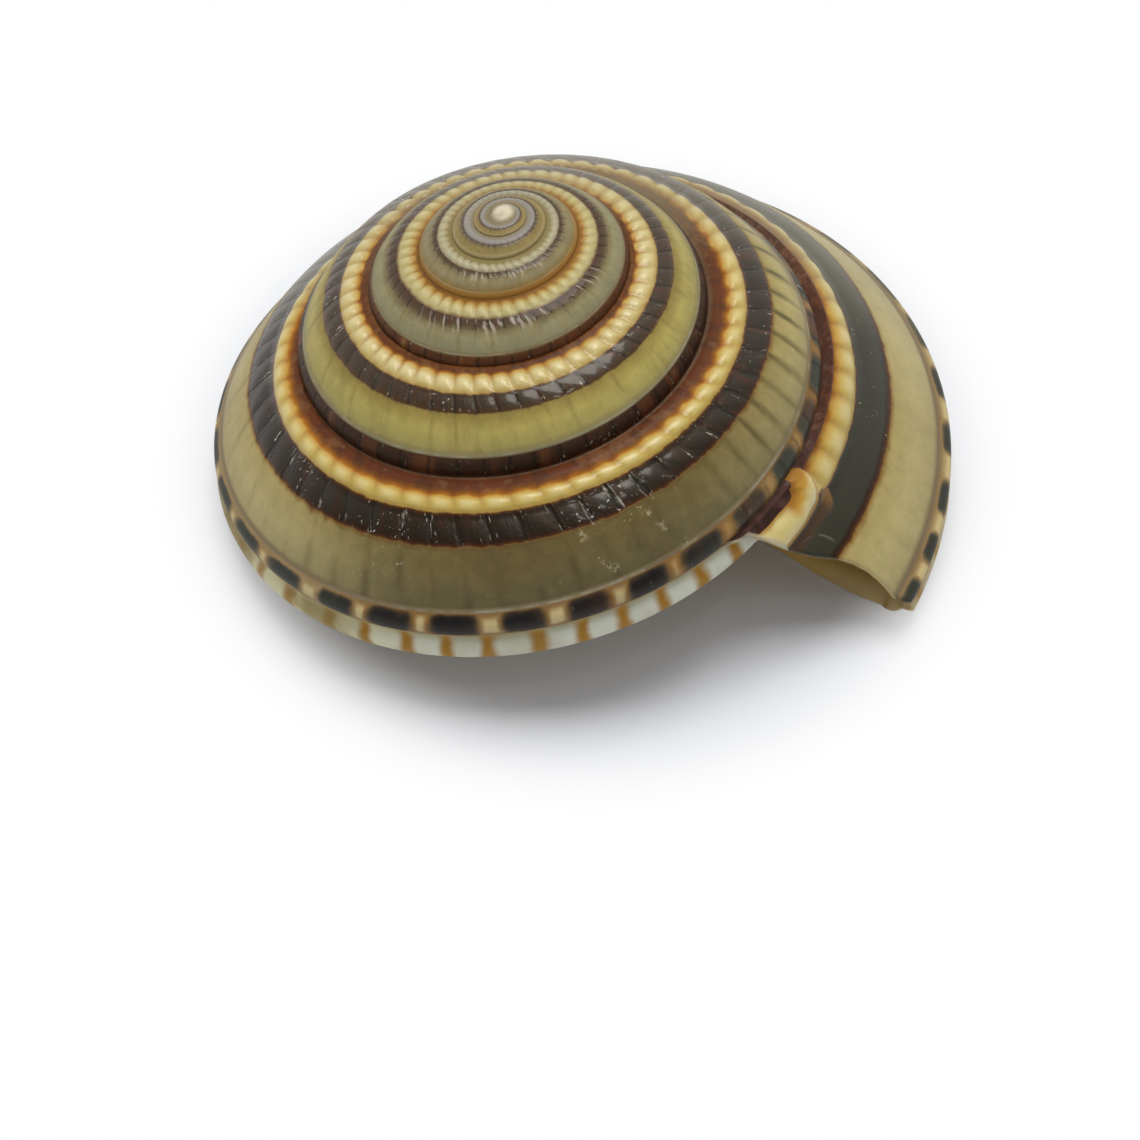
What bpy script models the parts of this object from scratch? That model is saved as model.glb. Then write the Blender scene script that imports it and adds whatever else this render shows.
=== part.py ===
"""Sundial shell: a low, right-handed coil of seven and a half whorls.

Every whorl carries the same set of spiral lines (cords, grooves, keels).  A line is a
radius and a depth below the tip that both grow with the coil.  The skin is made by
extruding a chain of these lines from one growth station to the next, and each new whorl
starts on the keel of the whorl before it, so the seams weld along the suture and inside
the umbilicus.  The last whorl is hollow behind its lip.
"""

import math

import bmesh
import bpy
from mathutils import Matrix, Vector

MM = 0.001

# Growth of the coil
STEPS_PER_TURN = 60
TURNS = 7
LIP_STATION = STEPS_PER_TURN * TURNS
LIP_ANGLE = 30.0            # degrees clockwise from +X, where the keel ends at the lip
LIP_AGE = 11.0 / 6.0        # age in turns at the lip, counted from the reference whorl
GROWTH = 0.4553             # natural log of the growth per turn at age 0
GROWTH_FADE = -0.018        # loss of growth with age
DOME = 1.3214               # power of the dome: depth grows as radius to this power
SCALE_RADIUS = 10.0         # mm, radius at which a line's cone value is read
TIP_TURNS = 1.0             # turns over which the skin opens out of its tip

# Late changes of the coil, each from its own age
TIGHTEN_AGE = 0.9
TIGHTEN = -0.069            # the coil closes in towards the lip ...
DEEPEN = 0.253              # ... and drops down the axis
KEEL_AGE = 0.6
GROOVE_RISE = -0.0742
KEEL_NARROWING = -0.701     # the side between groove and keel gets lower
DRIFT_AGE = 0.4
OVAL = -0.0182              # flattening per turn across the oval's angle
OVAL_ANGLE = 48.0
SLIDE_RIGHT = 0.43          # mm per turn
SLIDE_FRONT = 0.25
DIP_RIGHT = -0.0082         # drop per mm and turn
DIP_FRONT = 0.0057

# Lean of the growth lines, degrees ahead of the keel
LEAN_SUTURE = 18.0
SEAM_STEPS = STEPS_PER_TURN - round(LEAN_SUTURE / 360.0 * STEPS_PER_TURN)

# Lines of the upper side: radius in mm at age 0, cone value, lean
CREAM_CORD = (7.04, 0.569, 15.5)
DARK_EDGE = (7.313, 0.5727, 12.5)
TAN_EDGE = (8.139, 0.5495, 6.8)
GROOVE = (9.303, 0.6192, 3.2)

# Side between groove and keel: radius in mm at age 0, share of the side's height, lean
KEEL_RADIUS = 9.599
SIDE_HEIGHT = 0.2376        # share of the keel radius
DASH_CORD = (9.53, 0.20, 2.2)
SUTURE = (9.483, 0.40, 0.0)
KEEL_CREST = (9.62, 0.85, 0.0)
KEEL_FOOT = (9.46, 1.06, 0.0)

# Base: share of the keel radius, drop below the keel as a share of it, lean
BASE_CORD = (0.915, 0.012, 0.8)
BASE_BELLY = (0.720, 0.012, -1.0)
BASE_INNER = (0.530, -0.012, -4.0)
CORD_OUTER = (0.440, -0.030, -6.5)
CORD_CREST = (0.385, -0.026, -7.0)
FUNNEL_WALL = (0.325, -0.140, -3.0)

# Relief that repeats round the coil, as a share of the keel radius
CREAM_BEAD = 0.006
UMBILICAL_BEAD = 0.014

# Umbilicus and living chamber
FUNNEL_STATION = LIP_STATION - int(3.5 * STEPS_PER_TURN)
CHAMBER_TURNS = 1.2
CHAMBER_STEP = 2
CHAMBER_SHARE = 0.90        # size of the chamber inside the whorl
CHAMBER_END = 0.25
WELD = 0.02 * MM

# Rest attitude on the table, degrees
TURN_X = -2.30
TURN_Y = -6.90

SHELL_COLOR = (0.46, 0.36, 0.20, 1.0)
SHELL_ROUGHNESS = 0.35


def age(station, lean=0.0):
    """Turns since the reference whorl, at a point that leans ahead of its station."""
    return LIP_AGE - (LIP_STATION - station) / STEPS_PER_TURN + lean / 360.0


def growth(a):
    """Size of the coil at an age, 1 at age 0."""
    late = max(a - TIGHTEN_AGE, 0.0)
    return math.exp(GROWTH * a + GROWTH_FADE * a * a + TIGHTEN * late * late)


def cone_depth(line, a):
    """Radius and depth in mm of a line of the upper side."""
    late = max(a - TIGHTEN_AGE, 0.0)
    radius = line[0] * growth(a)
    depth = line[1] * SCALE_RADIUS * (radius / SCALE_RADIUS) ** DOME
    return radius, depth * math.exp(DEEPEN * late * late)


def groove_point(a):
    """Radius and depth of the groove above the dash cord."""
    radius, depth = cone_depth(GROOVE, a)
    return radius, depth * math.exp(GROOVE_RISE * max(a - KEEL_AGE, 0.0))


def side_point(line, a):
    """Radius and depth of a line on the steep side between groove and keel."""
    side = SIDE_HEIGHT * math.exp(KEEL_NARROWING * max(a - KEEL_AGE, 0.0))
    height = side * KEEL_RADIUS * growth(a)
    return line[0] * growth(a), groove_point(a)[1] + height * line[1]


def base_point(line, a):
    """Radius and depth of a line on the base or in the umbilicus."""
    radius, depth = side_point((KEEL_RADIUS, 1.0), a)
    return radius * line[0], depth + radius * line[1]


def to_space(point, station, lean):
    """Point in metres; the axis is vertical, and the coil turns clockwise from above."""
    radius, depth = point
    turn = math.radians(LIP_ANGLE + lean + (station - LIP_STATION) * 360.0 / STEPS_PER_TURN)
    late = max(age(station, lean) - DRIFT_AGE, 0.0)
    radius *= math.exp(late * OVAL * math.cos(2.0 * (turn - math.radians(OVAL_ANGLE))))
    right = radius * math.cos(turn) + late * SLIDE_RIGHT
    front = radius * math.sin(turn) + late * SLIDE_FRONT
    depth += late * (DIP_RIGHT * right + DIP_FRONT * front)
    return Vector((right, -front, -depth)) * MM


def beaded(point, station, a, bead, axis):
    """Push every second station of a cord out, so that it reads as beads."""
    radius, depth = point
    push = bead * KEEL_RADIUS * growth(a) * (1.0 if station % 2 else -1.0)
    if axis == "radius":
        return radius - push, depth
    return radius, depth - push


TOP = {"dark": DARK_EDGE, "tan": TAN_EDGE, "cream": CREAM_CORD}
SIDE = {"dash": DASH_CORD, "seam": SUTURE, "keel": KEEL_CREST, "keel_foot": KEEL_FOOT}
BASE = {"base_cord": BASE_CORD, "belly": BASE_BELLY, "inner": BASE_INNER,
        "cord_outer": CORD_OUTER, "cord_crest": CORD_CREST, "wall": FUNNEL_WALL}


def outer_line(name, station):
    """A named line of the skin, before the tip and the funnel are closed."""
    if name == "groove":
        lean = GROOVE[2]
        point = groove_point(age(station, lean))
    elif name in TOP:
        lean = TOP[name][2]
        point = cone_depth(TOP[name], age(station, lean))
    elif name in SIDE:
        lean = SIDE[name][2]
        point = side_point(SIDE[name], age(station, lean))
    else:
        lean = BASE[name][2]
        point = base_point(BASE[name], age(station, lean))
    if name == "cream":
        point = beaded(point, station, age(station, lean), CREAM_BEAD, "depth")
    if name == "cord_crest":
        point = beaded(point, station, age(station, lean), UMBILICAL_BEAD, "radius")
    return to_space(point, station, lean)


def opened(point, start, share):
    """Draw a point back to its start, where share runs from 0 to 1."""
    return start.lerp(point, math.sin(min(share, 1.0) * math.pi / 2.0))


def upper(name, station):
    """Point of the upper skin; the first turn opens out of the tip."""
    tip = Vector((0.0, 0.0, 0.0))
    if name == "suture":
        if station < SEAM_STEPS:
            return tip
        return upper("seam", station - SEAM_STEPS)
    return opened(outer_line(name, station), tip, station / (TIP_TURNS * STEPS_PER_TURN))


def funnel(name, station):
    """Point of the umbilicus; its first turn opens out of a point under the tip."""
    top = Vector((0.0, 0.0, -side_point(KEEL_CREST, age(FUNNEL_STATION))[1] * MM))
    if name == "touch":
        if station < FUNNEL_STATION + SEAM_STEPS:
            return top
        return funnel("cord_outer", station - SEAM_STEPS)
    share = (station - FUNNEL_STATION) / STEPS_PER_TURN
    return opened(outer_line(name, station), top, share)


UPPER_LINES = ("suture", "cream", "dark", "tan", "groove", "dash", "seam")
BASE_LINES = ("seam", "keel", "keel_foot", "base_cord", "belly", "inner", "cord_outer")
FUNNEL_LINES = ("cord_outer", "cord_crest", "wall", "touch")


def add_strip(bm, names, place, first, last):
    """Extrude a chain of lines from the first station to the last."""
    index = bm.verts.layers.int["line"]
    verts = []
    for number, name in enumerate(names):
        vert = bm.verts.new(place(name, first))
        vert[index] = number
        verts.append(vert)
    edges = [bm.edges.new(pair) for pair in zip(verts, verts[1:])]
    for station in range(first + 1, last + 1):
        made = bmesh.ops.extrude_edge_only(bm, edges=edges)["geom"]
        new_verts = {item for item in made if isinstance(item, bmesh.types.BMVert)}
        for vert in new_verts:
            vert.co = place(names[vert[index]], station)
        edges = [item for item in made if isinstance(item, bmesh.types.BMEdge)
                 and item.verts[0] in new_verts and item.verts[1] in new_verts]


def whorl_loop(station):
    """Outline of the last whorl's tube at a station, from the suture round to it again."""
    before = station - SEAM_STEPS
    loop = [upper(name, station) for name in UPPER_LINES]
    loop += [outer_line(name, station) for name in BASE_LINES[1:]]
    loop += [funnel(name, station) for name in FUNNEL_LINES[1:]]
    loop += [outer_line(name, before) for name in reversed(BASE_LINES[1:-1])]
    return loop


def chamber_loop(station, share):
    """The whorl's outline drawn in towards its middle."""
    loop = whorl_loop(station)
    middle = sum(loop, Vector()) / len(loop)
    return [middle.lerp(point, share) for point in loop]


def ordered_lip(bm):
    """The open edge of the skin, matched to the order of whorl_loop."""
    rim = {vert for edge in bm.edges if edge.is_boundary for vert in edge.verts}
    return [min(rim, key=lambda vert: (vert.co - point).length)
            for point in whorl_loop(LIP_STATION)]


def add_chamber(bm):
    """Turn the lip inwards and run it back into the shell as a closed hollow."""
    index = bm.verts.layers.int["line"]
    lip = ordered_lip(bm)
    for number, vert in enumerate(lip):
        vert[index] = number
    edges = [bm.edges.get((lip[i - 1], lip[i])) for i in range(len(lip))]
    count = int(CHAMBER_TURNS * STEPS_PER_TURN / CHAMBER_STEP)
    for step in range(count + 1):
        tail = max((step - 0.75 * count) / (0.25 * count), 0.0)
        share = CHAMBER_SHARE + (CHAMBER_END - CHAMBER_SHARE) * tail * tail
        places = chamber_loop(LIP_STATION - step * CHAMBER_STEP, share)
        made = bmesh.ops.extrude_edge_only(bm, edges=edges)["geom"]
        new_verts = {item for item in made if isinstance(item, bmesh.types.BMVert)}
        for vert in new_verts:
            vert.co = places[vert[index]]
        edges = [item for item in made if isinstance(item, bmesh.types.BMEdge)
                 and item.verts[0] in new_verts and item.verts[1] in new_verts]
    bmesh.ops.edgeloop_fill(bm, edges=edges)


def rest(bm):
    """Lay the shell on its base: origin under the middle of its box, at table height."""
    turn = Matrix.Rotation(math.radians(TURN_X), 3, "X")
    turn = turn @ Matrix.Rotation(math.radians(TURN_Y), 3, "Y")
    bmesh.ops.transform(bm, matrix=turn.to_4x4(), verts=bm.verts)
    low = Vector([min(vert.co[i] for vert in bm.verts) for i in range(3)])
    high = Vector([max(vert.co[i] for vert in bm.verts) for i in range(3)])
    shift = Vector((-(low.x + high.x) / 2.0, -(low.y + high.y) / 2.0, -low.z))
    bmesh.ops.translate(bm, vec=shift, verts=bm.verts)


def shell_material():
    material = bpy.data.materials.new("shell")
    material.use_nodes = True
    shader = material.node_tree.nodes["Principled BSDF"]
    shader.inputs["Base Color"].default_value = SHELL_COLOR
    shader.inputs["Roughness"].default_value = SHELL_ROUGHNESS
    shader.inputs["Metallic"].default_value = 0.0
    return material


def build_shell():
    bm = bmesh.new()
    bm.verts.layers.int.new("line")
    add_strip(bm, UPPER_LINES, upper, 0, LIP_STATION)
    add_strip(bm, BASE_LINES, lambda name, station: outer_line(name, station),
              LIP_STATION - SEAM_STEPS, LIP_STATION)
    add_strip(bm, FUNNEL_LINES, funnel, FUNNEL_STATION, LIP_STATION)
    bmesh.ops.remove_doubles(bm, verts=bm.verts, dist=WELD)
    bmesh.ops.dissolve_degenerate(bm, edges=bm.edges, dist=WELD)
    add_chamber(bm)
    bmesh.ops.recalc_face_normals(bm, faces=bm.faces)
    bmesh.ops.triangulate(bm, faces=bm.faces)
    rest(bm)
    mesh = bpy.data.meshes.new("shell")
    bm.to_mesh(mesh)
    bm.free()
    mesh.shade_smooth()
    mesh.set_sharp_from_angle(angle=math.radians(40.0))
    mesh.materials.append(shell_material())
    bpy.context.scene.collection.objects.link(bpy.data.objects.new("shell", mesh))


for item in list(bpy.data.objects):
    bpy.data.objects.remove(item)
build_shell()
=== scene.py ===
"""Sundial shell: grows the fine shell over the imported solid, with its cords, beads and bands."""

import math

import bmesh
import bpy
from bpy.props import FloatProperty, FloatVectorProperty, PointerProperty
from mathutils import Matrix, Vector, noise


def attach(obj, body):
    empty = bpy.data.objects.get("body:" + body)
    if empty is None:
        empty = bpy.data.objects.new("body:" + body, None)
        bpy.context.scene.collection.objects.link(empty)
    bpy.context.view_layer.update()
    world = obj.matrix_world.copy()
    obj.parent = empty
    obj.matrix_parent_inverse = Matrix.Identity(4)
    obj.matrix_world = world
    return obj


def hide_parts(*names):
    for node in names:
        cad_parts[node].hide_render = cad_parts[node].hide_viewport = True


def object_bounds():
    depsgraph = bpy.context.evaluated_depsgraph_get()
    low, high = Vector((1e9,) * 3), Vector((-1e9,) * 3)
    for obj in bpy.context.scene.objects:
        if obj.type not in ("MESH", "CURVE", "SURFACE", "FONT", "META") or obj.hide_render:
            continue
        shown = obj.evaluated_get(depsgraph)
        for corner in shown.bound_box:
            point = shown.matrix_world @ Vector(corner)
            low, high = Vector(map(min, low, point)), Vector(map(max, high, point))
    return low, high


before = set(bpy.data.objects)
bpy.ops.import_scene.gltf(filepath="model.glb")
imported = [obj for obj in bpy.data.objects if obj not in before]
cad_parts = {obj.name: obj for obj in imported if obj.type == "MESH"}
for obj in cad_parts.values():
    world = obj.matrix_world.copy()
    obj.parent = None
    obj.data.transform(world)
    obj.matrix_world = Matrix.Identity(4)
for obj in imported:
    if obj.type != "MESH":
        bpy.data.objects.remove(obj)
CAD_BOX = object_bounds()
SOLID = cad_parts["shell"]

bl_info = {
    "name": "Sundial Shell",
    "version": (1, 0, 0),
    "blender": (4, 5, 0),
    "location": "3D View > Sidebar > Shell",
    "description": "Grows a banded, beaded sundial shell and sets it on a white table",
    "category": "Add Mesh",
}

MM = 0.001

# Growth of the coil, the same as the solid's
STEPS = 360                 # growth lines per turn
TURNS = 7
LIP_STEP = STEPS * TURNS
LIP_ANGLE = 30.0            # degrees clockwise from +X
LIP_AGE = 11.0 / 6.0        # age in turns of the keel at the lip
GROWTH = 0.4553             # natural logarithm of the growth per turn at age 0
GROWTH_FADE = -0.018        # how it falls off with age
DOME = 1.3214               # power of the radius by which the dome falls
SCALE_RADIUS = 10.0         # mm, where the dome's slopes are given
TIGHTEN_AGE = 0.9           # from here on the coil tightens and sinks
TIGHTEN = -0.069
DEEPEN = 0.253
KEEL_AGE = 0.6              # from here on the side grows lower
GROOVE_RISE = -0.0742
SIDE_HEIGHT = 0.2376        # share of the keel's radius
KEEL_NARROWING = -0.701
KEEL_RADIUS = 9.599         # mm at age 0
DRIFT_AGE = 0.4             # from here on the coil turns oval, slides and leans
OVAL = -0.0182
OVAL_ANGLE = math.radians(48.0)
SLIDE_RIGHT = 0.43          # mm a turn
SLIDE_FRONT = 0.25
DIP_RIGHT = -0.0082
DIP_FRONT = 0.0057
TURN_X = -2.30              # degrees of lean at rest
TURN_Y = -6.90

# Steps across the skin, outwards from the suture and then in under the base
SUTURE, CREAM, DARK, TAN, GROOVE, SEAM, KEEL, FOOT = 0.0, 1.0, 2.0, 3.0, 4.0, 5.0, 6.0, 7.0
SECOND_CORD, BASE, INNER, NOTCHED, NOTCH_TOP, WALL, TOUCH = 8.0, 9.0, 10.0, 11.0, 12.0, 13.0, 14.0
SUTURE_LEAN = 24.0
SEAM_STEPS = STEPS - round(SUTURE_LEAN / 360.0 * STEPS)
CREAM_WIDTHS = ((-2.0, 0.150), (-1.0, 0.188), (0.0, 0.130), (1.0, 0.067))

# How far the lip runs ahead of the keel, degrees
LEANS = ((SUTURE, SUTURE_LEAN), (CREAM, 20.0), (1.3, 17.4), (DARK, 13.0), (2.55, 10.2),
         (3.05, 6.9), (3.25, 5.2), (3.5, 3.9), (3.75, 3.3), (GROOVE, 3.1), (4.5, 2.4),
         (SEAM, 0.0), (KEEL, 0.5), (FOOT, 0.5), (SECOND_CORD, 0.8), (BASE, -1.0), (INNER, -4.0),
         (NOTCHED, -6.5), (NOTCH_TOP, -7.0), (WALL, -3.0), (TOUCH, SUTURE_LEAN - 6.5))

# How much further back the base starts beside the mouth, degrees
HOOK = ((SEAM, 0.0), (KEEL, -8.0), (FOOT, -9.0), (SECOND_CORD, -8.0), (BASE, -6.0),
        (INNER, -3.0), (NOTCHED, 0.0))
HOOK_STEPS = 40

# How far pleats and growth lines run ahead of the middle of the beads, degrees
SLANTS = ((SUTURE, 2.5), (CREAM, 0.8), (1.5, 0.0), (DARK, -0.8), (TAN, -3.2), (GROOVE, -5.1))

# Rows of the fine mesh between two steps across
UPPER_ROWS = ((SUTURE, CREAM, 3), (CREAM, DARK, 6), (DARK, TAN, 4), (TAN, 3.9, 4),
              (3.9, GROOVE, 2), (GROOVE, SEAM, 5))
BASE_ROWS = ((SEAM, KEEL, 3), (KEEL, FOOT, 5), (FOOT, 7.5, 2), (7.5, SECOND_CORD, 3),
             (SECOND_CORD, BASE, 3), (BASE, INNER, 3), (INNER, NOTCHED, 3))
FUNNEL_ROWS = ((NOTCHED, NOTCH_TOP, 5), (NOTCH_TOP, WALL, 3), (WALL, TOUCH, 2))
FUNNEL_STEP = LIP_STEP - int(3.5 * STEPS)

# Living chamber behind the lip
CHAMBER_TURNS = 1.0
CHAMBER_STRIDE = 4
CHAMBER_SHARE = 0.90        # of the whorl's outline
CHAMBER_TAPER = 0.25        # of its length
CHAMBER_END = 0.25

# A healed break near the lip, and the rounded end of the cord that grew over it, mm across
BREAK_AGE, SCAR_AGE = 1.829, 1.8455
KNOB_AGE = 1.845
KNOB_LENGTH = 0.0085        # turns
NARROW, BROAD = 0.34, 2.10  # mm per step across, inside and outside the cream's inner edge
KNOB_MIDDLE, KNOB_HALF = 1.00, 1.18
CORD_SHIFT, CORD_THINNING, CORD_SETTLES = 0.46, 0.40, 0.012

# Noise scales, per metre
COARSE, FINE, GRIT, GLINT_DOTS, CLOUDS = 260.0, 1500.0, 5000.0, 5200.0, 320.0

# Table, lamps and camera; lamps by name, size, power setting and place, in metres
TABLE_HALF = 1.5
TABLE_GAP = 0.02 * MM
SHADOW_REACH = (15.5, 22.0)  # mm from the middle, over which the table turns white
LAMPS = (("overhead", 0.20, "lamp_power", (0.0, 0.06, 0.37)),
         ("sparkle", 0.03, "sparkle_power", (0.03, -0.12, 0.33)))
EYE_FROM_TIP = (2.975, -66.717, 64.917)  # mm
EYE_TILT = 36.0             # degrees
SENSOR, LENS = 36.0, 65.85  # mm
WHITE = (1.0, 1.0, 1.0, 1.0)


def blend(points, x):
    """Straight line through (place, value) pairs, level beyond the ends."""
    if x <= points[0][0]:
        return points[0][1]
    for (a, low), (b, high) in zip(points, points[1:]):
        if x <= b:
            return low + (high - low) * (x - a) / (b - a)
    return points[-1][1]


def hill(x, middle, width):
    """Soft bump, 1 at its middle."""
    return math.exp(-((x - middle) / width) ** 2)


def fade(x, start, end):
    """0 before start, 1 after end, eased."""
    share = min(max((x - start) / (end - start), 0.0), 1.0)
    return share * share * (3.0 - 2.0 * share)


def growth(age):
    """Size of the whorl against its size at age 0."""
    late = max(age - TIGHTEN_AGE, 0.0)
    return math.exp(GROWTH * age + GROWTH_FADE * age * age + TIGHTEN * late * late)


def on_cone(radius, value, age):
    """Radius and depth of a line of the dome, which bends down on the last whorl."""
    late = max(age - TIGHTEN_AGE, 0.0)
    grown = radius * growth(age)
    depth = value * SCALE_RADIUS * (grown / SCALE_RADIUS) ** DOME
    return Vector((grown, depth * math.exp(DEEPEN * late * late)))


def groove_point(age):
    """The groove inside the rim cord."""
    point = on_cone(9.303, 0.6192, age)
    point.y *= math.exp(GROOVE_RISE * max(age - KEEL_AGE, 0.0))
    return point


def side_point(radius, share, age):
    """Point of the side, a share of the way down from the groove to the keel."""
    side = SIDE_HEIGHT * math.exp(KEEL_NARROWING * max(age - KEEL_AGE, 0.0))
    size = growth(age)
    return Vector((radius * size, groove_point(age).y + side * KEEL_RADIUS * size * share))


def base_point(share, drop, age):
    """Point of the base, at a share of the keel's radius."""
    keel = side_point(KEEL_RADIUS, 1.0, age)
    return Vector((keel.x * share, keel.y + keel.x * drop))


def seam_point(age):
    """Where the next whorl grows on to this one."""
    return side_point(9.483, 0.40, age)


def dark_point(age):
    """Inner edge of the dark band."""
    return on_cone(7.313, 0.5727, age)


def notched_point(age):
    """Outer foot of the notched cord round the umbilicus."""
    return base_point(0.440, -0.030, age)


def cream_inner(age):
    """Where the brown ramp under the suture meets the cream cord."""
    start, dark = seam_point(age - 1.0), dark_point(age)
    radius = dark.x * (1.0 - blend(CREAM_WIDTHS, age))
    share = min(max((radius - start.x) / (dark.x - start.x), 0.0), 1.0)
    return Vector((radius, start.y + (on_cone(7.04, 0.569, age).y - start.y) * share))


KNOTS = (
    (SUTURE, lambda age: seam_point(age - 1.0)),
    (CREAM, cream_inner),
    (DARK, dark_point),
    (TAN, lambda age: on_cone(8.139, 0.5495, age)),
    (GROOVE, groove_point),
    (4.5, lambda age: side_point(9.53, 0.20, age)),
    (SEAM, seam_point),
    (KEEL, lambda age: side_point(9.54, 0.60, age)),
    (6.5, lambda age: side_point(9.62, 0.85, age)),
    (FOOT, lambda age: side_point(9.46, 1.06, age)),
    (SECOND_CORD, lambda age: base_point(0.915, 0.012, age)),
    (BASE, lambda age: base_point(0.720, 0.012, age)),
    (INNER, lambda age: base_point(0.530, -0.012, age)),
    (NOTCHED, notched_point),
    (NOTCH_TOP, lambda age: base_point(0.385, -0.026, age)),
    (WALL, lambda age: base_point(0.325, -0.140, age)),
    (TOUCH, lambda age: notched_point(age - 1.0)),
)


def bead_phase(age):
    """Counts beads along the coil, a little uneven; whole numbers are the gaps."""
    return 50.0 * age + 2.5 * age * age + 0.45 * noise.noise(Vector((age * 14.0, 3.1, 0.0)))


def dash_phase(age):
    """Counts dashes of the rim cord; whole numbers are the pale gaps."""
    late = max(age - 1.4, 0.0)
    crowded = 0.13 * fade(age, 1.70, 1.78) + 0.4 * fade(age, 1.79, LIP_AGE)
    return 31.06 * (age - 1.0225) + 3.6 * late * late + crowded


def spot_phase(age):
    """Counts the orange spots of the keel; whole numbers are the spots."""
    return 46.0 * (age - 1.0235) + 0.25 * noise.noise(Vector((age * 20.0, 7.7, 0.0)))


def slanted(across, age):
    """Age at the middle of the bead that a growth line belongs to."""
    return age - blend(SLANTS, across) / 360.0


def suture_fill(age):
    """How far in mm the suture is filled; the last whorl's free edge stays sharper."""
    return 0.24 - 0.12 * fade(age, 0.75, 0.9)


def new_cord(across, age):
    """Height share of the cord that grew over the break, 0 off it."""
    beside = NARROW * min(across, 1.0) + BROAD * max(across - 1.0, 0.0)
    further = fade(age, KNOB_AGE, KNOB_AGE + CORD_SETTLES)
    middle = KNOB_MIDDLE + CORD_SHIFT * further
    over = (beside - middle) / (KNOB_HALF - CORD_THINNING * further)
    before = min(age - KNOB_AGE, 0.0) / KNOB_LENGTH
    return max(1.0 - over * over - before * before, 0.0) ** 0.5


def relief(across, age, sizes):
    """Height in mm of cords, beads and pleats over the plain skin."""
    size = growth(age) / growth(1.0)
    share = across - math.floor(across)
    arch = math.sin(math.pi * share)
    dip = 1.0 - abs(math.sin(math.pi * bead_phase(slanted(across, age)))) ** 0.7
    dip *= fade(age, -3.0, -2.2)
    pleat = sizes.pleat_height / MM * dip
    worn = 1.5 - 1.15 * fade(age, 0.5, 1.15) + 0.4 * fade(age, 1.2, 1.45)
    tucked = 0.22 * fade(age, 1.45, 1.65)
    height = 0.0
    if across < CREAM:
        height = suture_fill(age - 1.0) * (1.0 - share) + 0.07 * arch
    elif across < DARK:
        height = sizes.cord_height / MM * arch ** 0.7 * (1.35 - 0.35 * fade(age, 0.4, 0.9))
        height *= 1.0 - min(sizes.bead_depth * worn * dip, 1.0)
    elif across < TAN:
        height = 0.07 * arch ** 0.6
        height -= pleat * arch ** 0.5 * (1.0 - fade(age, 1.1, 1.5))
    elif across < GROOVE:
        height = 0.10 * math.sin(math.pi * min(share / 0.9, 1.0))
        height -= 0.04 * hill(share, 0.97, 0.03)
        height *= 1.0 - 0.7 * fade(age, 1.04, 1.14)
        height -= pleat * (1.0 - fade(age, -0.6, 0.2)) * max(1.0 - share / 0.6, 0.0)
    elif across <= SEAM:
        height = suture_fill(age) * (across - GROOVE)
        rise = 0.05 - 0.035 * fade(age, 1.04, 1.14)
        height += rise * max(math.sin(math.pi * (across - GROOVE)), 0.0) ** 0.6
    elif across < KEEL:
        height = suture_fill(age) * (1.0 - share) - 0.05 * arch - tucked * share
    elif across < FOOT:
        height = 0.16 * arch ** 0.7 - tucked
    elif across < SECOND_CORD:
        height = 0.16 * math.sin(math.pi * max(share - 0.3, 0.0) / 0.7)
        height -= 0.12 * hill(share, 0.15, 0.1) + tucked * (1.0 - share)
    elif across < BASE:
        height = 0.10 * arch - 0.10 * hill(share, 0.0, 0.08)
    elif across < NOTCHED:
        wrinkle = 0.5 + 0.5 * math.cos(2.0 * math.pi * bead_phase(age))
        height = 0.05 * wrinkle * (across - BASE) / 2.0 - 0.12 * hill(across, NOTCHED, 0.25)
    elif across < WALL:
        notch = abs(math.sin(math.pi * 0.8 * bead_phase(age))) ** 0.8
        height = 0.75 * math.sin(math.pi * (across - NOTCHED) / 2.0) ** 0.8 * (0.45 + 0.55 * notch)
        height *= 1.0 - 0.78 * fade(age, 1.5, 1.78)
    if across < DARK:
        height = max(height, sizes.knob_height / MM * new_cord(across, age))
    return height * size


def skin_point(across, age, sizes):
    """Radius and depth of a point of the skin, with its relief."""
    for (start, low), (end, high) in zip(KNOTS, KNOTS[1:]):
        if across <= end:
            break
    a, b = low(age), high(age)
    point = a.lerp(b, (across - start) / (end - start))
    if across in (SUTURE, NOTCHED, TOUCH):
        return point
    run = (b - a).normalized()
    return point + Vector((run.y, -run.x)) * relief(across, age, sizes)


def to_space(point, step, lean):
    """Place of a radius and depth in metres, in the shell's own upright frame."""
    turn = math.radians(LIP_ANGLE + lean + (step - LIP_STEP) * 360.0 / STEPS)
    late = max(age_at(step, lean) - DRIFT_AGE, 0.0)
    radius = point.x * math.exp(late * OVAL * math.cos(2.0 * (turn - OVAL_ANGLE)))
    right = radius * math.cos(turn) + late * SLIDE_RIGHT
    front = radius * math.sin(turn) + late * SLIDE_FRONT
    depth = point.y + late * (DIP_RIGHT * right + DIP_FRONT * front)
    return Vector((right, -front, -depth)) * MM


def age_at(step, lean):
    """Age in turns of a point on a growth line."""
    return LIP_AGE - (LIP_STEP - step) / STEPS + lean / 360.0


def lean_at(across, step):
    """Lean of the skin's mesh lines; the base leans back where it leaves the mouth."""
    lean = blend(LEANS, across)
    if SEAM < across < NOTCHED:
        past = fade(step, LIP_STEP - SEAM_STEPS, LIP_STEP - SEAM_STEPS + HOOK_STEPS)
        lean += blend(HOOK, across) * (1.0 - past)
    return lean


def skin(across, step, sizes):
    """Point of the skin on a growth line."""
    lean = lean_at(across, step)
    return to_space(skin_point(across, age_at(step, lean), sizes), step, lean)


def opened(point, start, share):
    """Draw a point back to its start, where share runs from 0 to 1."""
    return start.lerp(point, math.sin(min(share, 1.0) * math.pi / 2.0))


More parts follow.
